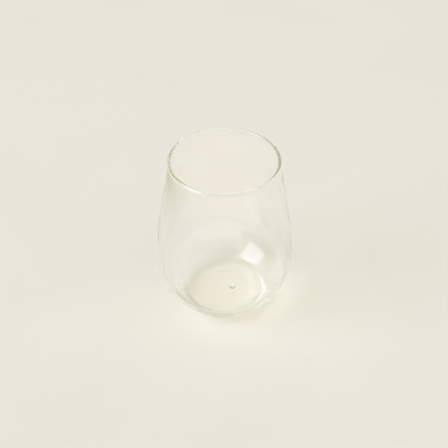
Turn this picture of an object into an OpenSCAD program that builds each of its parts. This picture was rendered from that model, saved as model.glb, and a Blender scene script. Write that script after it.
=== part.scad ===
// Stemless wine glass, blown in one piece from clear glass.
// Its section is one closed outline of tangent arcs. From the punt it runs out along the standing
// ring, up the outside (heel, lower wall, belly, shoulder, straight taper), over the fire-polished
// bead of the rim, and down the inside to the floor. Lengths are in millimetres, angles in degrees.
// The glass stands on z = 0 with its axis on z.

/* [Outside] */
// Height from the standing ring to the top of the rim
glass_h = 114; // [100:1:130]
// Outside diameter of the rim
rim_d = 71.5; // [64:0.5:78]
// Outside diameter of the belly, the widest line of the bowl
belly_d = 89.5; // [84:0.5:98]
// Height of the belly line
belly_z = 35; // [33:0.5:40]
// Diameter at which the lower wall, carried on past the heel, would meet the table
base_d = 49; // [45:0.5:54]
// Radius of the heel, between the lower wall and the standing ring
heel_r = 9; // [5:0.5:11]

/* [Curves of the wall] */
// Height of the curved shoulder, from the belly line to the straight taper
shoulder_h = 34.5; // [24:0.5:48]
// Radius of the belly in section, below the belly line
belly_arc_r = 32; // [28:0.5:33]
// Radius of the flatter lower wall in section
lower_arc_r = 70; // [60:1:100]

/* [Thickness] */
// Thickness of the wall just under the rim
rim_wall_t = 1.2; // [1:0.1:1.6]
// Thickness of the wall at the belly
belly_wall_t = 1.4; // [1.1:0.1:2]
// Thickness of the wall beside the floor
heel_wall_t = 2.8; // [2.2:0.1:3.4]
// Height of the inside floor above the table
floor_z = 7; // [5:0.25:9]
// Radius of the inside corner between the floor and the wall
corner_r = 4; // [2:0.5:7]

/* [Rim] */
// Thickness of the fire-polished bead
bead_d = 2; // [1.8:0.1:2.8]
// Radius of the hollow curve that blends the bead into the wall
bead_blend_r = 5; // [2:0.5:8]

/* [Punt and finishing mark] */
// Width of the flat standing ring, from the punt out to the heel
ring_w = 1.6; // [1:0.1:3]
// Depth of the punt, the hollow under the base, on the axis
punt_depth = 1; // [0.6:0.1:2]
// Diameter of the finishing mark, a small round swelling of the floor
mark_d = 7; // [5:0.5:9]
// Height of the finishing mark
mark_h = 1.7; // [0.5:0.1:2.2]
// Distance of the finishing mark from the axis of the glass
mark_x = 5; // [0:0.25:7]

/* [Hidden] */
$fn = 128;
glass_colour = [0.86, 0.88, 0.82, 0.45];
// Each arc is drawn in steps of at most arc_step, and in least_steps at least
arc_step = 8;
least_steps = 8;
// Passes in which the slope of the taper is closed in on
taper_passes = 12;

bead_r = bead_d / 2;
bead_c = [rim_d / 2 - bead_r, glass_h - bead_r];

// Outside: through the edge of the base and the belly line, to the outer skin of the wall under the bead
belly = [belly_d / 2, belly_z];
belly_c = belly - [belly_arc_r, 0];
base_edge = [base_d / 2, 0];
outer_low_c = low_centre(base_edge, lower_arc_r, belly_arc_r);
outer_taper = taper_angle(belly[0], rim_wall_t / 2);

// Inside: the same run, set in by the thickness of the wall
inner_belly_arc_r = belly_arc_r - belly_wall_t;
inner_low_r = lower_arc_r - heel_wall_t;
floor_edge = [outer_low_c[0] + sqrt(inner_low_r ^ 2 - (outer_low_c[1] - floor_z) ^ 2), floor_z];
inner_low_c = low_centre(floor_edge, inner_low_r, inner_belly_arc_r);
inner_taper = taper_angle(belly[0] - belly_wall_t, -rim_wall_t / 2);

// Blend of the bead: its arc touches the bead and the skin of the wall, this far down from the bead's centre
blend_off = rim_wall_t / 2 + bead_blend_r;
blend_drop = sqrt((bead_r + bead_blend_r) ^ 2 - blend_off ^ 2);
blend_turn = atan2(blend_drop, blend_off);

// Shallow spheres: the punt, inside the standing ring, and the finishing mark, rooted halfway down the base
punt_r = foot_centre(outer_low_c, lower_arc_r, 0, heel_r)[0] - ring_w;
punt_arc_r = cap_radius(punt_r, punt_depth);
punt_half_angle = asin(punt_r / punt_arc_r);
mark_arc_r = cap_radius(mark_d / 2, mark_h);
mark_root_z = (punt_depth + floor_z) / 2;

// Points on a circle from one angle to another, both ends included
function arc(centre, radius, from, to) =
    let (steps = max(least_steps, ceil(abs(to - from) / arc_step)))
    [for (i = [0:steps]) centre + radius * direction(from + (to - from) * i / steps)];

function direction(angle) = [cos(angle), sin(angle)];
function angle_of(v) = atan2(v[1], v[0]);
function reversed(points) = [for (i = [len(points) - 1:-1:0]) points[i]];

// Radius of the sphere whose cap has this half width and this height
function cap_radius(half_w, height) = (half_w ^ 2 + height ^ 2) / (2 * height);

// Centre of the lower wall's circle, which passes through the edge and touches the belly arc from outside
function low_centre(edge, low_r, arc_r) =
    let (
        reach = norm(belly_c - edge),
        along = (belly_c - edge) / reach,
        across = [-along[1], along[0]],
        foot = (low_r ^ 2 - (low_r - arc_r) ^ 2 + reach ^ 2) / (2 * reach)
    )
    edge + foot * along + sqrt(low_r ^ 2 - foot ^ 2) * across;

// Centre of the arc that rounds the foot of a wall into the level foot_z
function foot_centre(low_c, low_r, foot_z, foot_r) =
    let (z = foot_z + foot_r)
    [low_c[0] + sqrt((low_r - foot_r) ^ 2 - (z - low_c[1]) ^ 2), z];

// Slope of the straight taper that leaves the shoulder arc and passes the bead's centre at the distance off
function taper_angle(belly_r, off) = 2 * atan(half_taper_tan(belly_r, off, taper_passes));

// The shoulder arc loses shoulder_h * tan(taper / 2) of radius, and the straight taper the rest
function half_taper_tan(belly_r, off, passes) =
    passes == 0 ? 0 :
    let (
        last = half_taper_tan(belly_r, off, passes - 1),
        rest = 1 - last ^ 2,
        lost_r = belly_r - bead_c[0] - off * (1 + last ^ 2) / rest
    )
    lost_r * rest / (shoulder_h * rest + 2 * (bead_c[1] - belly_z - shoulder_h));

// One side of the wall from its rounded foot up to the end of the shoulder arc
function side(belly_r, arc_r, low_c, low_r, foot_z, foot_r, taper) =
    let (
        foot_c = foot_centre(low_c, low_r, foot_z, foot_r),
        foot_turn = angle_of(foot_c - low_c),
        belly_turn = angle_of(belly_c - low_c),
        shoulder_r = shoulder_h / sin(taper)
    )
    concat(
        arc(foot_c, foot_r, -90, foot_turn),
        arc(low_c, low_r, foot_turn, belly_turn),
        arc(belly_c, arc_r, belly_turn, 0),
        arc([belly_r - shoulder_r, belly_z], shoulder_r, 0, taper)
    );

// The rim: outer blend, bead and inner blend
function rim() =
    let (
        outer_c = bead_c + blend_off * direction(outer_taper) - blend_drop * direction(outer_taper + 90),
        inner_c = bead_c - blend_off * direction(inner_taper) - blend_drop * direction(inner_taper + 90)
    )
    concat(
        arc(outer_c, bead_blend_r, outer_taper + 180, outer_taper + 180 - blend_turn),
        arc(bead_c, bead_r, outer_taper - blend_turn, inner_taper + 180 + blend_turn),
        arc(inner_c, bead_blend_r, inner_taper + blend_turn, inner_taper)
    );

// Outline of half the glass, from the axis in the punt round to the axis on the floor
module glass_section() {
    punt = arc([0, punt_depth - punt_arc_r], punt_arc_r, 90, 90 - punt_half_angle);
    outside = side(belly[0], belly_arc_r, outer_low_c, lower_arc_r, 0, heel_r, outer_taper);
    inside = side(
        belly[0] - belly_wall_t, inner_belly_arc_r, inner_low_c, inner_low_r, floor_z, corner_r, inner_taper
    );
    polygon(concat(punt, outside, rim(), reversed(inside), [[0, floor_z]]));
}

// Finishing mark: the top of a sphere, rooted in the base glass
module finishing_mark() {
    translate([mark_x, 0, 0])
        intersection() {
            translate([0, 0, floor_z + mark_h - mark_arc_r]) rotate([90, 0, 0]) sphere(mark_arc_r);
            translate([0, 0, mark_root_z]) cylinder(r = mark_arc_r, h = floor_z);
        }
}

module glass() {
    color(glass_colour) {
        rotate_extrude() glass_section();
        finishing_mark();
    }
}

glass();
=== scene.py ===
import math

import bmesh
import bpy
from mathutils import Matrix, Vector


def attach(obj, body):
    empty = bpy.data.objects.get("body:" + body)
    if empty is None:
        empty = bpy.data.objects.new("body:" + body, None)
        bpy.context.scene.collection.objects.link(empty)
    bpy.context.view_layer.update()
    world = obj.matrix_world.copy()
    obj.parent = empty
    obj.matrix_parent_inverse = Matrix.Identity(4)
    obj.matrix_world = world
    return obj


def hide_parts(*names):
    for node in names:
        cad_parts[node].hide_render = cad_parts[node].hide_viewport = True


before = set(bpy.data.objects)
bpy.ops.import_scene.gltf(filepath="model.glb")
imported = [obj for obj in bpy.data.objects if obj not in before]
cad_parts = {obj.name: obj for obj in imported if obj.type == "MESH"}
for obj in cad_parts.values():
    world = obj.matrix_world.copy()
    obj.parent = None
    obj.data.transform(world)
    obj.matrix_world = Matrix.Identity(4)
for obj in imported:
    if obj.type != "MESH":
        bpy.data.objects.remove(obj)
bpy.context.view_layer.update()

# Lengths are in metres and angles in degrees, unless a line says otherwise
MM = 0.001

# Camera: looks down on the glass from the front, as in the photograph

PHOTO_SIDE = 448
CAMERA_ELEVATION = 39.72
CAMERA_DISTANCE = 694 * MM
AIM_HEIGHT = 61.8 * MM
LENS_IN_MM = 85
SENSOR_IN_MM = 36
SHIFT_PIXELS = -0.35
CLIP_START = 10 * MM

# Section of the glass: the sizes of the CAD part

GLASS_H = 114 * MM
RIM_D = 71.5 * MM
BELLY_D = 89.5 * MM
BELLY_Z = 35 * MM
BASE_D = 49 * MM
HEEL_R = 9 * MM
SHOULDER_H = 34.5 * MM
BELLY_ARC_R = 32 * MM
LOWER_ARC_R = 70 * MM
RIM_WALL_T = 1.2 * MM
BELLY_WALL_T = 1.4 * MM
HEEL_WALL_T = 2.8 * MM
FLOOR_Z = 7 * MM
CORNER_R = 4 * MM
BEAD_R = 1 * MM
BEAD_BLEND_R = 5 * MM
RING_W = 1.6 * MM
PUNT_DEPTH = 1 * MM
MARK_R = 3.5 * MM
MARK_H = 1.7 * MM
MARK_X = 5 * MM
# The floor is meshed finely this far out from the axis, for the finishing mark
MARK_FIELD_R = 9 * MM

BEAD_C = Vector((RIM_D / 2 - BEAD_R, GLASS_H - BEAD_R))
BELLY_C = Vector((BELLY_D / 2 - BELLY_ARC_R, BELLY_Z))
# Passes in which the slope of the taper is closed in on
TAPER_PASSES = 12

# Steps in which each run of the section is drawn, and in which the section is turned

PUNT_STEPS = 24
RING_STEPS = 3
HEEL_STEPS = 22
LOWER_WALL_STEPS = 20
BELLY_STEPS = 26
SHOULDER_STEPS = 22
TAPER_STEPS = 6
BLEND_STEPS = 6
HALF_BEAD_STEPS = 14
CORNER_STEPS = 18
FLOOR_STEPS = 16
MARK_FIELD_STEPS = 32
TURN_STEPS = 208
MERGE_GAP = 0.004 * MM

# Glass: light runs far inside the wall, so even a clear body darkens the rim

GLASS_IOR = 1.51
BODY_COLOUR = (0.68, 0.70, 0.65, 1)
BODY_DENSITY = 7.2
RIPPLE = 0.06
RIPPLE_DEPTH = 1 * MM
CLEAN_TONE = (1.0, 1.0, 1.0, 1)
WIPED_TONE = (0.985, 0.985, 0.975, 1)
# Roughness of wiped marks, of scuffs on the standing ring and of the uneven heel
WIPED_HAZE = 0.012
SCUFF_HAZE = 0.12
HEEL_HAZE = 0.25
SCUFF_HEIGHT = 0.04 * MM
# The heel haze fades in between these radii, and out between these heights
HEEL_RADII = (18 * MM, 22 * MM)
HEEL_HEIGHTS = (8 * MM, 11 * MM)
# Noise values between which a patch of cloud, and a scuff, goes from none to full
CLOUD_EDGE = (0.9, 1.25)
SCUFF_EDGE = (0.45, 0.65)

# Table

TABLE_SIZE = 8
TABLE_DROP = 0.05 * MM
TABLE_COLOUR = (0.90, 0.88, 0.83, 1)
MOTTLE_SHADE = 0.98
TABLE_SEEN = (0.807, 0.776, 0.694, 1)
# Share of the plain seen colour near the glass, and the radii between which it grows to the whole
TABLE_SEEN_SHARE = 0.1
TABLE_SEEN_RADII = (0.35, 1.2)

# Window: azimuth and elevation, distance, width and height

WINDOW_AT = (-161, 38)
WINDOW_AWAY = 20.0
WINDOW_SIZE = (12.7, 10.8)
WINDOW_AIM_HEIGHT = 30 * MM
WINDOW_RADIANCE = 4.2
WINDOW_COLOUR = (0.93, 0.97, 1.2)

# Room, as the glass sees it, and the even fill that the table gets from it

ROOM_COLOUR = (0.90, 0.86, 0.68, 1)
ROOM_SEEN = 1.35
FILL_COLOUR = (0.775, 0.748, 0.63, 1)
ROOM_FILL = 0.86
# Dimmer patches, later ones on top: azimuth, half width, lowest and highest elevation, softness, colour
ROOM_PATCHES = [
    (-60, 70, 45, 95, 4, (0.12, 0.11, 0.05)),
    (-75, 45, 28, 60, 5, (0.08, 0.07, 0.03)),
    (-165, 45, -3, 20, 3, (0.2, 0.18, 0.1)),
    (-15, 25, 28, 45, 5, (0.5, 0.48, 0.38)),
    (60, 32, 14, 45, 4, (0.38, 0.37, 0.29)),
    (102, 40, 30, 70, 6, (0.66, 0.63, 0.52)),
]

# Cards on the table that glow but light nothing, and show only in the glass: painted reflections, and
# painted light seen through it. Each has its glow colour, its height above the table, its corners, and the
# runs along which it fades in (direction on the table, from, to). A mirrored one shows only after a
# reflection, so that no view looks straight through the glass at it.

# A card never covers quite all that is behind it, which keeps faint lines out of the rendered glass
CARD_COVER = 0.98
# Painted dark reflection: a dim olive glow, seen only in reflections, which darkens the left wall of the
# glass
LEFT_DARK_REFLECTION_CARD = {
    "colour": (0.33, 0.35, 0.10, 1),
    "mirrored": True,
    "lift": 1 * MM,
    "corners": [(-0.7, -0.18), (-0.23, -0.18), (-0.06, 0.13), (-0.7, 0.43)],
    "fades": [((-0.889, 0.46), 0.125, 0.215), ((0, 1), -0.178, -0.128)],
}
# Painted light reflection: a glow brighter than white, seen only in reflections, which lightens the walls of
# the glass
FRONT_CARD = {
    "colour": (1.2, 1.15, 1.02, 1),
    "mirrored": True,
    "lift": 0.5 * MM,
    "corners": [(-0.2, -0.7), (0.42, -0.7), (0.42, -0.075), (-0.2, -0.075)],
    "fades": [
        ((0, -1), 0.08, 0.2),
        ((0, 1), -0.69, -0.6),
        ((1, 0), -0.19, -0.1),
        ((-1, 0), -0.41, -0.33),
    ],
}
# Painted light: a glow a little brighter than the table, which lightens the table seen through the glass
BACK_CARD = {
    "colour": (0.848, 0.808, 0.712, 1),
    "mirrored": False,
    "lift": 0.3 * MM,
    "corners": [(-0.12, 0.045), (0.12, 0.045), (0.12, 0.29), (-0.12, 0.29)],
    "fades": [
        ((0, 1), 0.05, 0.11),
        ((0, -1), -0.285, -0.23),
        ((1, 0), -0.11, -0.06),
        ((-1, 0), -0.09, -0.03),
    ],
}

# Most times that light may turn on its way through the glass
LIGHT_TURNS = 512


# Camera

def add_camera():
    """A long lens on the front side, aimed a little above the middle of the glass."""
    lift = math.radians(CAMERA_ELEVATION)
    aim = Vector((0, 0, AIM_HEIGHT))
    sight = Vector((0, math.cos(lift), -math.sin(lift)))
    bpy.ops.object.camera_add(location=aim - sight * CAMERA_DISTANCE)
    camera = bpy.context.object
    camera.name = "photo_camera"
    camera.rotation_euler = sight.to_track_quat("-Z", "Y").to_euler()
    camera.data.lens = LENS_IN_MM
    camera.data.sensor_width = SENSOR_IN_MM
    camera.data.shift_x = SHIFT_PIXELS / PHOTO_SIDE
    camera.data.clip_start = CLIP_START
    bpy.context.scene.camera = camera


# Circles of the section, as (radius, height) on one side of the axis; angles here are in radians

def direction(angle):
    return Vector((math.cos(angle), math.sin(angle)))


def angle_of(v):
    return math.atan2(v.y, v.x)


def low_centre(edge, low_r, arc_r):
    """Centre of the lower wall's circle, through the edge and touching the belly arc."""
    reach = (BELLY_C - edge).length
    along = (BELLY_C - edge) / reach
    across = Vector((-along.y, along.x))
    foot = (low_r ** 2 - (low_r - arc_r) ** 2 + reach ** 2) / (2 * reach)
    return edge + foot * along + math.sqrt(low_r ** 2 - foot ** 2) * across


def foot_centre(low_c, low_r, foot_z, foot_r):
    """Centre of the arc that rounds the foot of a wall into the level foot_z."""
    z = foot_z + foot_r
    return Vector((low_c.x + math.sqrt((low_r - foot_r) ** 2 - (z - low_c.y) ** 2), z))


def taper_angle(belly_r, off):
    """Slope of the straight taper between the shoulder arc and the bead."""
    half = 0
    for _ in range(TAPER_PASSES):
        rest = 1 - half ** 2
        lost_r = belly_r - BEAD_C.x - off * (1 + half ** 2) / rest
        half = lost_r * rest / (SHOULDER_H * rest + 2 * (BEAD_C.y - BELLY_Z - SHOULDER_H))
    return 2 * math.atan(half)


# Modelling by hand: the half section is drawn with one point, then turned about the axis

def clear_selection():
    if bpy.context.object and bpy.context.object.mode != "OBJECT":
        bpy.ops.object.mode_set(mode="OBJECT")
    bpy.ops.object.select_all(action="DESELECT")


def start_section(name, r, z):
    """One point in edit mode, made from a small plane drawn together."""
    clear_selection()
    bpy.ops.mesh.primitive_plane_add(size=1 * MM, location=(0, 0, 0))
    piece = bpy.context.object
    piece.name = name
    piece.data.name = name
    bpy.ops.object.mode_set(mode="EDIT")
    bpy.ops.mesh.select_mode(type="VERT")
    bpy.ops.mesh.select_all(action="SELECT")
    bpy.ops.mesh.merge(type="CENTER")
    bpy.ops.transform.translate(value=(r, 0, z))
    return piece


def pen():
    """Place of the point that the section has reached, as (radius, height)."""
    mesh = bmesh.from_edit_mesh(bpy.context.object.data)
    point = next(v for v in mesh.verts if v.select)
    return Vector((point.co.x, point.co.z))


def line_to(end, steps):
    """A straight run to the end, in equal steps."""
    step = (end - pen()) / steps
    for _ in range(steps):
        bpy.ops.mesh.extrude_region_move(TRANSFORM_OT_translate={"value": (step.x, 0, step.y)})


def arc_about(centre, to_angle, steps):
    """An arc about the centre, from where the section is to the given angle."""
    start = angle_of(pen() - centre)
    turn = (to_angle - start + math.pi) % (2 * math.pi) - math.pi
    bpy.ops.mesh.spin(steps=steps, angle=turn, center=(centre.x, 0, centre.y), axis=(0, 1, 0))


def draw_wall_up(foot_c, low_c, belly_r, taper):
    """Heel, lower wall, belly and shoulder, from the standing ring up."""
    shoulder_r = SHOULDER_H / math.sin(taper)
    arc_about(foot_c, angle_of(foot_c - low_c), HEEL_STEPS)
    arc_about(low_c, angle_of(BELLY_C - low_c), LOWER_WALL_STEPS)
    arc_about(BELLY_C, 0, BELLY_STEPS)
    arc_about(Vector((belly_r - shoulder_r, BELLY_Z)), taper, SHOULDER_STEPS)


def draw_wall_down(foot_c, low_c, belly_r, taper):
    """Shoulder, belly, lower wall and inside corner, from the rim down."""
    shoulder_r = SHOULDER_H / math.sin(taper)
    shoulder_c = Vector((belly_r - shoulder_r, BELLY_Z))
    line_to(shoulder_c + shoulder_r * direction(taper), TAPER_STEPS)
    arc_about(shoulder_c, 0, SHOULDER_STEPS)
    arc_about(BELLY_C, angle_of(BELLY_C - low_c), BELLY_STEPS)
    arc_about(low_c, angle_of(foot_c - low_c), LOWER_WALL_STEPS)
    arc_about(foot_c, -math.pi / 2, CORNER_STEPS)


def draw_rim(outer_taper, inner_taper):
    """Hollow blend, fire-polished bead and hollow blend."""
    off = RIM_WALL_T / 2 + BEAD_BLEND_R
    drop = math.sqrt((BEAD_R + BEAD_BLEND_R) ** 2 - off ** 2)
    turn = math.atan2(drop, off)
    outer_c = BEAD_C + off * direction(outer_taper) - drop * direction(outer_taper + math.pi / 2)
    inner_c = BEAD_C - off * direction(inner_taper) - drop * direction(inner_taper + math.pi / 2)
    line_to(outer_c + BEAD_BLEND_R * direction(outer_taper + math.pi), TAPER_STEPS)
    arc_about(outer_c, outer_taper + math.pi - turn, BLEND_STEPS)
    arc_about(BEAD_C, math.pi / 2, HALF_BEAD_STEPS)
    arc_about(BEAD_C, inner_taper + math.pi + turn, HALF_BEAD_STEPS)
    arc_about(inner_c, inner_taper, BLEND_STEPS)


def turn_section():
    """Turns the section into the glass and closes it on the axis."""
    bpy.ops.mesh.select_all(action="SELECT")
    bpy.ops.mesh.spin(steps=TURN_STEPS, angle=2 * math.pi, center=(0, 0, 0), axis=(0, 0, 1))
    bpy.ops.mesh.select_all(action="SELECT")
    bpy.ops.mesh.remove_doubles(threshold=MERGE_GAP)
    bpy.ops.mesh.normals_make_consistent(inside=False)


def raise_finishing_mark():
    """Swells the floor around the point of the finishing mark."""
    bpy.ops.mesh.select_all(action="DESELECT")
    mesh = bmesh.from_edit_mesh(bpy.context.object.data)
    middle = Vector((MARK_X, 0, FLOOR_Z))
    point = min(mesh.verts, key=lambda v: (v.co - middle).length)
    point.select_set(True)
    mesh.select_flush_mode()
    bmesh.update_edit_mesh(bpy.context.object.data)
    bpy.ops.transform.translate(
        value=(0, 0, MARK_H), use_proportional_edit=True,
        proportional_edit_falloff="INVERSE_SQUARE", proportional_size=MARK_R,
    )


def model_blown_glass():
    """The whole glass, blown in one piece: punt, standing ring, wall, rim and floor."""
    outer_low_c = low_centre(Vector((BASE_D / 2, 0)), LOWER_ARC_R, BELLY_ARC_R)
    heel_c = foot_centre(outer_low_c, LOWER_ARC_R, 0, HEEL_R)
    outer_taper = taper_angle(BELLY_D / 2, RIM_WALL_T / 2)

    inner_low_r = LOWER_ARC_R - HEEL_WALL_T
    floor_edge_r = outer_low_c.x + math.sqrt(inner_low_r ** 2 - (outer_low_c.y - FLOOR_Z) ** 2)
    inner_low_c = low_centre(Vector((floor_edge_r, FLOOR_Z)), inner_low_r, BELLY_ARC_R - BELLY_WALL_T)
    corner_c = foot_centre(inner_low_c, inner_low_r, FLOOR_Z, CORNER_R)
    inner_taper = taper_angle(BELLY_D / 2 - BELLY_WALL_T, -RIM_WALL_T / 2)

    punt_r = heel_c.x - RING_W
    punt_arc_r = (punt_r ** 2 + PUNT_DEPTH ** 2) / (2 * PUNT_DEPTH)

    glass = start_section("blown_glass", 0, PUNT_DEPTH)
    arc_about(Vector((0, PUNT_DEPTH - punt_arc_r)), math.acos(punt_r / punt_arc_r), PUNT_STEPS)
    line_to(Vector((heel_c.x, 0)), RING_STEPS)
    draw_wall_up(heel_c, outer_low_c, BELLY_D / 2, outer_taper)
    draw_rim(outer_taper, inner_taper)
    draw_wall_down(corner_c, inner_low_c, BELLY_D / 2 - BELLY_WALL_T, inner_taper)
    line_to(Vector((MARK_FIELD_R, FLOOR_Z)), FLOOR_STEPS)
    line_to(Vector((0, FLOOR_Z)), MARK_FIELD_STEPS)
    turn_section()
    raise_finishing_mark()
    bpy.ops.object.mode_set(mode="OBJECT")
    bpy.ops.object.shade_smooth()
    return glass


# Shader work

def new_material(name):
    material = bpy.data.materials.new(name)
    material.use_nodes = True
    return material, material.node_tree.nodes, material.node_tree.links


def new_effect(name, inputs, outputs):
    """A shader node group with named inputs (name, kind, value) and outputs (name, kind)."""
    group = bpy.data.node_groups.new(name, "ShaderNodeTree")
    for label, kind, value in inputs:
        socket = group.interface.new_socket(label, in_out="INPUT", socket_type=kind)
        if value is not None:
            socket.default_value = value
    for label, kind in outputs:
        group.interface.new_socket(label, in_out="OUTPUT", socket_type=kind)
    entry = group.nodes.new("NodeGroupInput")
    leave = group.nodes.new("NodeGroupOutput")
    return group, entry.outputs, leave.inputs


def place_effect(nodes, group, label, **values):
    node = nodes.new("ShaderNodeGroup")
    node.node_tree = group
    node.label = label
    for name, value in values.items():
        node.inputs[name].default_value = value
    return node


def link_or_set(links, socket, value):
    if hasattr(value, "is_linked"):
        links.new(value, socket)
    else:
        socket.default_value = value


def math_node(tree, operation, first, second=None):
    node = tree.nodes.new("ShaderNodeMath")
    node.operation = operation
    link_or_set(tree.links, node.inputs[0], first)
    if second is not None:
        link_or_set(tree.links, node.inputs[1], second)
    return node.outputs[0]


def soft_step(tree, value, low, high, start=0.0, end=1.0):
    """Goes smoothly from start to end as the value goes from low to high."""
    node = tree.nodes.new("ShaderNodeMapRange")
    node.interpolation_type = "SMOOTHSTEP"
    link_or_set(tree.links, node.inputs["Value"], value)
    node.inputs["From Min"].default_value = low
    node.inputs["From Max"].default_value = high
    node.inputs["To Min"].default_value = start
    node.inputs["To Max"].default_value = end
    return node.outputs["Result"]


def mix_colours(tree, factor, first, second):
    mix = tree.nodes.new("ShaderNodeMix")
    mix.data_type = "RGBA"
    tree.links.new(factor, mix.inputs["Factor"])
    link_or_set(tree.links, mix.inputs["A"], first)
    mix.inputs["B"].default_value = second
    return mix.outputs["Result"]


def mix_shaders(tree, factor, first, second):
    blend = tree.nodes.new("ShaderNodeMixShader")
    tree.links.new(factor, blend.inputs[0])
    tree.links.new(first, blend.inputs[1])
    tree.links.new(second, blend.inputs[2])
    return blend.outputs["Shader"]


def split_place(tree, place):
    split = tree.nodes.new("ShaderNodeSeparateXYZ")
    tree.links.new(place, split.inputs[0])
    return split.outputs


def along_level(tree, split, x, y):
    """How far a place lies along the level direction (x, y)."""
    along_x = math_node(tree, "MULTIPLY", split["X"], x)
    along_y = math_node(tree, "MULTIPLY", split["Y"], y)
    return math_node(tree, "ADD", along_x, along_y)


def ripple_effect():
    """Slow unevenness of blown glass, drawn out round the bowl."""
    group, given, result = new_effect(
        "blown ripple",
        [
            ("Place", "NodeSocketVector", None),
            ("Scale", "NodeSocketFloat", 30.0),
            ("Draw Out", "NodeSocketFloat", 2.0),
        ],
        [("Height", "NodeSocketFloat")],
    )
    split = split_place(group, given["Place"])
    join = group.nodes.new("ShaderNodeCombineXYZ")
    group.links.new(split["X"], join.inputs["X"])
    group.links.new(split["Y"], join.inputs["Y"])
    group.links.new(math_node(group, "MULTIPLY", split["Z"], given["Draw Out"]), join.inputs["Z"])
    wave = group.nodes.new("ShaderNodeTexNoise")
    wave.inputs["Detail"].default_value = 1.0
    wave.inputs["Roughness"].default_value = 0.4
    group.links.new(join.outputs[0], wave.inputs["Vector"])
    group.links.new(given["Scale"], wave.inputs["Scale"])
    group.links.new(wave.outputs["Fac"], result["Height"])
    return group


def cloud_effect():
    """Patchy mask, for wiped marks on glass and for the mottle of the table."""
    group, given, result = new_effect(
        "patchy cloud",
        [
            ("Place", "NodeSocketVector", None),
            ("Scale", "NodeSocketFloat", 40.0),
            ("Cover", "NodeSocketFloat", 0.5),
        ],
        [("Mask", "NodeSocketFloat")],
    )
    cloud = group.nodes.new("ShaderNodeTexNoise")
    cloud.inputs["Detail"].default_value = 4.0
    cloud.inputs["Distortion"].default_value = 0.6
    group.links.new(given["Place"], cloud.inputs["Vector"])
    group.links.new(given["Scale"], cloud.inputs["Scale"])
    lifted = math_node(group, "ADD", cloud.outputs["Fac"], given["Cover"])
    group.links.new(soft_step(group, lifted, *CLOUD_EDGE), result["Mask"])
    return group


def table_wear_effect():
    """Mask of the fine scuffs on the standing ring, where the glass meets the table."""
    group, given, result = new_effect(
        "table wear",
        [("Place", "NodeSocketVector", None), ("Height", "NodeSocketFloat", 0.0003)],
        [("Mask", "NodeSocketFloat")],
    )
    low = math_node(group, "LESS_THAN", split_place(group, given["Place"])["Z"], given["Height"])
    scuff = group.nodes.new("ShaderNodeTexNoise")
    scuff.inputs["Scale"].default_value = 900.0
    scuff.inputs["Detail"].default_value = 3.0
    group.links.new(given["Place"], scuff.inputs["Vector"])
    broken = soft_step(group, scuff.outputs["Fac"], *SCUFF_EDGE)
    group.links.new(math_node(group, "MULTIPLY", low, broken), result["Mask"])
    return group


def heel_effect():
    """Mask of the heel and the inside corner, where blown glass is least even."""
    group, given, result = new_effect(
        "heel",
        [("Place", "NodeSocketVector", None)],
        [("Mask", "NodeSocketFloat")],
    )
    split = split_place(group, given["Place"])
    x2 = math_node(group, "POWER", split["X"], 2.0)
    y2 = math_node(group, "POWER", split["Y"], 2.0)
    radius = math_node(group, "SQRT", math_node(group, "ADD", x2, y2))
    outside = soft_step(group, radius, *HEEL_RADII)
    low = soft_step(group, split["Z"], *HEEL_HEIGHTS, 1.0, 0.0)
    group.links.new(math_node(group, "MULTIPLY", outside, low), result["Mask"])
    return group


def clear_glass_material(ripple, cloud, wear, heel):
    """Clear fire-polished glass with a faint grey-green body colour."""
    material, nodes, links = new_material("clear_glass")
    tree = material.node_tree
    glass = nodes["Principled BSDF"]
    glass.inputs["Metallic"].default_value = 0
    glass.inputs["Transmission Weight"].default_value = 1
    glass.inputs["IOR"].default_value = GLASS_IOR

    place = nodes.new("ShaderNodeTexCoord").outputs["Object"]
    waves = place_effect(nodes, ripple, "unevenness", Scale=26.0, **{"Draw Out": 1.8})
    wiped = place_effect(nodes, cloud, "wiped marks", Scale=38.0, Cover=0.42)
    scuffs = place_effect(nodes, wear, "scuffed ring", Height=SCUFF_HEIGHT)
    uneven = place_effect(nodes, heel, "uneven heel")
    for effect in (waves, wiped, scuffs, uneven):
        links.new(place, effect.inputs["Place"])

    bump = nodes.new("ShaderNodeBump")
    bump.inputs["Strength"].default_value = RIPPLE
    bump.inputs["Distance"].default_value = RIPPLE_DEPTH
    links.new(waves.outputs["Height"], bump.inputs["Height"])
    links.new(bump.outputs["Normal"], glass.inputs["Normal"])

    film = math_node(tree, "MULTIPLY", wiped.outputs["Mask"], WIPED_HAZE)
    scuffed = math_node(tree, "MULTIPLY", scuffs.outputs["Mask"], SCUFF_HAZE)
    haze = math_node(tree, "MULTIPLY", uneven.outputs["Mask"], HEEL_HAZE)
    rough = math_node(tree, "ADD", math_node(tree, "ADD", film, scuffed), haze)
    links.new(rough, glass.inputs["Roughness"])

    tone = mix_colours(tree, wiped.outputs["Mask"], CLEAN_TONE, WIPED_TONE)
    links.new(tone, glass.inputs["Base Color"])

    body = nodes.new("ShaderNodeVolumeAbsorption")
    body.inputs["Color"].default_value = BODY_COLOUR
    body.inputs["Density"].default_value = BODY_DENSITY
    links.new(body.outputs["Volume"], nodes["Material Output"].inputs["Volume"])
    return material


def seen_ray(tree):
    """1 for the rays by which a surface is seen: straight, in a reflection or through glass."""
    path = tree.nodes.new("ShaderNodeLightPath")
    seen = math_node(tree, "MAXIMUM", path.outputs["Is Camera Ray"], path.outputs["Is Glossy Ray"])
    return math_node(tree, "MAXIMUM", seen, path.outputs["Is Transmission Ray"])


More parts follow.
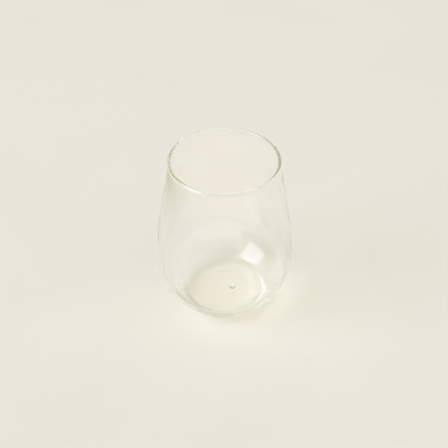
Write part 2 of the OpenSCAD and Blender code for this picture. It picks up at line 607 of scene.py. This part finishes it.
def pale_table_material(cloud):
    """Pale matt table that keeps the shadow of the glass, and turns plain far away."""
    material, nodes, links = new_material("pale_table")
    tree = material.node_tree
    board = nodes["Principled BSDF"]
    board.inputs["Roughness"].default_value = 0.9
    board.inputs["Specular IOR Level"].default_value = 0.0
    place = nodes.new("ShaderNodeTexCoord").outputs["Object"]
    mottle = place_effect(nodes, cloud, "mottle", Scale=7.0, Cover=0.5)
    links.new(place, mottle.inputs["Place"])
    darker = (*(MOTTLE_SHADE * part for part in TABLE_COLOUR[:3]), 1)
    colour = mix_colours(tree, mottle.outputs["Mask"], TABLE_COLOUR, darker)
    links.new(colour, board.inputs["Base Color"])

    glow = nodes.new("ShaderNodeEmission")
    glow.inputs["Color"].default_value = TABLE_SEEN
    away = nodes.new("ShaderNodeVectorMath")
    away.operation = "LENGTH"
    links.new(place, away.inputs[0])
    plain = soft_step(tree, away.outputs["Value"], *TABLE_SEEN_RADII, TABLE_SEEN_SHARE, 1.0)
    share = math_node(tree, "MULTIPLY", seen_ray(tree), plain)
    surface = mix_shaders(tree, share, board.outputs["BSDF"], glow.outputs["Emission"])
    links.new(surface, nodes["Material Output"].inputs["Surface"])
    return material


def card_material(name, card):
    """Glowing card, painted light seen only in the glass, that fades out to the table at its edges."""
    material, nodes, links = new_material(name)
    tree = material.node_tree
    split = split_place(tree, nodes.new("ShaderNodeTexCoord").outputs["Object"])
    cover = CARD_COVER
    if card["mirrored"]:
        turns = nodes.new("ShaderNodeLightPath").outputs["Glossy Depth"]
        cover = math_node(tree, "MULTIPLY", math_node(tree, "MINIMUM", turns, 1.0), CARD_COVER)
    for (x, y), start, end in card["fades"]:
        step = soft_step(tree, along_level(tree, split, x, y), start, end)
        cover = math_node(tree, "MULTIPLY", step, cover)
    face = nodes.new("ShaderNodeEmission")
    face.inputs["Color"].default_value = card["colour"]
    clear = nodes.new("ShaderNodeBsdfTransparent")
    surface = mix_shaders(tree, cover, clear.outputs["BSDF"], face.outputs["Emission"])
    links.new(surface, nodes["Material Output"].inputs["Surface"])
    return material


# Stage: table, cards, window and the room round them

def lay_table(material):
    clear_selection()
    bpy.ops.mesh.primitive_plane_add(size=TABLE_SIZE, location=(0, 0, 0))
    table = bpy.context.object
    table.name = "table"
    bpy.ops.object.mode_set(mode="EDIT")
    bpy.ops.mesh.select_all(action="SELECT")
    bpy.ops.transform.translate(value=(0, 0, -TABLE_DROP))
    bpy.ops.object.mode_set(mode="OBJECT")
    table.data.materials.append(material)


def lay_card(name, card, material):
    """A card that lies on the table near the glass, out of the camera's own sight."""
    clear_selection()
    bpy.ops.mesh.primitive_plane_add(size=1, location=(0, 0, 0))
    plane = bpy.context.object
    plane.name = name
    round_the_plane = sorted(plane.data.vertices, key=lambda v: angle_of(v.co))
    for vertex, (x, y) in zip(round_the_plane, card["corners"]):
        vertex.co = (x, y, card["lift"])
    plane.data.materials.append(material)
    plane.visible_camera = False
    plane.visible_shadow = False
    plane.visible_diffuse = False


def hang_window():
    """A soft window: a bright rectangle aimed at the foot of the glass."""
    turn, lift = (math.radians(angle) for angle in WINDOW_AT)
    level = math.cos(lift) * direction(turn)
    aim = Vector((0, 0, WINDOW_AIM_HEIGHT))
    place = aim + WINDOW_AWAY * Vector((level.x, level.y, math.sin(lift)))
    bpy.ops.object.light_add(type="AREA", location=place)
    lamp = bpy.context.object
    lamp.name = "window"
    lamp.rotation_euler = (aim - place).to_track_quat("-Z", "Y").to_euler()
    lamp.data.shape = "RECTANGLE"
    lamp.data.size, lamp.data.size_y = WINDOW_SIZE
    lamp.data.energy = WINDOW_RADIANCE * math.pi * WINDOW_SIZE[0] * WINDOW_SIZE[1]
    lamp.data.color = WINDOW_COLOUR


def room_patch(tree, split, before, patch):
    """Lays one soft-edged patch of the room over the colour before it."""
    *angles, colour = patch
    azimuth, half, low, high, soft = (math.radians(angle) for angle in angles)
    ahead = along_level(tree, split, math.cos(azimuth), math.sin(azimuth))
    aside = along_level(tree, split, -math.sin(azimuth), math.cos(azimuth))
    off = math_node(tree, "ABSOLUTE", math_node(tree, "ARCTAN2", aside, ahead))
    lift = math_node(tree, "ARCSINE", split["Z"])
    within = soft_step(tree, off, half - soft, half + soft, 1.0, 0.0)
    above = soft_step(tree, lift, low - soft, low + soft)
    below = soft_step(tree, lift, high - soft, high + soft, 1.0, 0.0)
    mask = math_node(tree, "MULTIPLY", math_node(tree, "MULTIPLY", within, above), below)
    return mix_colours(tree, mask, before, (*colour, 1))


def plain_room(tree, rays, otherwise, colour, strength):
    """Lets the given rays meet one even colour in place of the room."""
    plain = tree.nodes.new("ShaderNodeBackground")
    plain.inputs["Color"].default_value = colour
    plain.inputs["Strength"].default_value = strength
    return mix_shaders(tree, rays, otherwise, plain.outputs["Background"])


def light_room():
    """The pale room that the glass sees, with dimmer patches, and even light for the table."""
    world = bpy.data.worlds.new("pale_room")
    bpy.context.scene.world = world
    world.use_nodes = True
    # Light sampling can't tell the rays apart, so the patches would show on the table
    world.cycles.sampling_method = "NONE"
    tree = world.node_tree
    split = split_place(tree, tree.nodes.new("ShaderNodeTexCoord").outputs["Generated"])
    colour = ROOM_COLOUR
    for patch in ROOM_PATCHES:
        colour = room_patch(tree, split, colour, patch)
    room = tree.nodes["Background"]
    tree.links.new(colour, room.inputs["Color"])
    room.inputs["Strength"].default_value = ROOM_SEEN
    path = tree.nodes.new("ShaderNodeLightPath").outputs
    lit = plain_room(tree, path["Is Diffuse Ray"], room.outputs["Background"], FILL_COLOUR, ROOM_FILL)
    lit = plain_room(tree, path["Is Camera Ray"], lit, TABLE_SEEN, 1.0)
    tree.links.new(lit, tree.nodes["World Output"].inputs["Surface"])


def set_light_paths():
    """Glass shows light that has turned many times in its wall, and sharp light under it."""
    cycles = bpy.context.scene.cycles
    for name in ("max_bounces", "transmission_bounces", "glossy_bounces", "transparent_max_bounces"):
        setattr(cycles, name, LIGHT_TURNS)
    cycles.blur_glossy = 0


add_camera()
glass = model_blown_glass()
cloud = cloud_effect()
glass.data.materials.append(clear_glass_material(ripple_effect(), cloud, table_wear_effect(), heel_effect()))
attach(glass, "root")
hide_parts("glass")

lay_table(pale_table_material(cloud))
# Glowing cards: painted reflections and painted light, seen only in the glass
lay_card("left_dark_reflection_card", LEFT_DARK_REFLECTION_CARD, card_material("painted_dark_reflection", LEFT_DARK_REFLECTION_CARD))
lay_card("front_card", FRONT_CARD, card_material("painted_light_reflection", FRONT_CARD))
lay_card("back_card", BACK_CARD, card_material("painted_light_behind_glass", BACK_CARD))
hang_window()
light_room()
set_light_paths()
bpy.context.scene.view_settings.view_transform = "Standard"
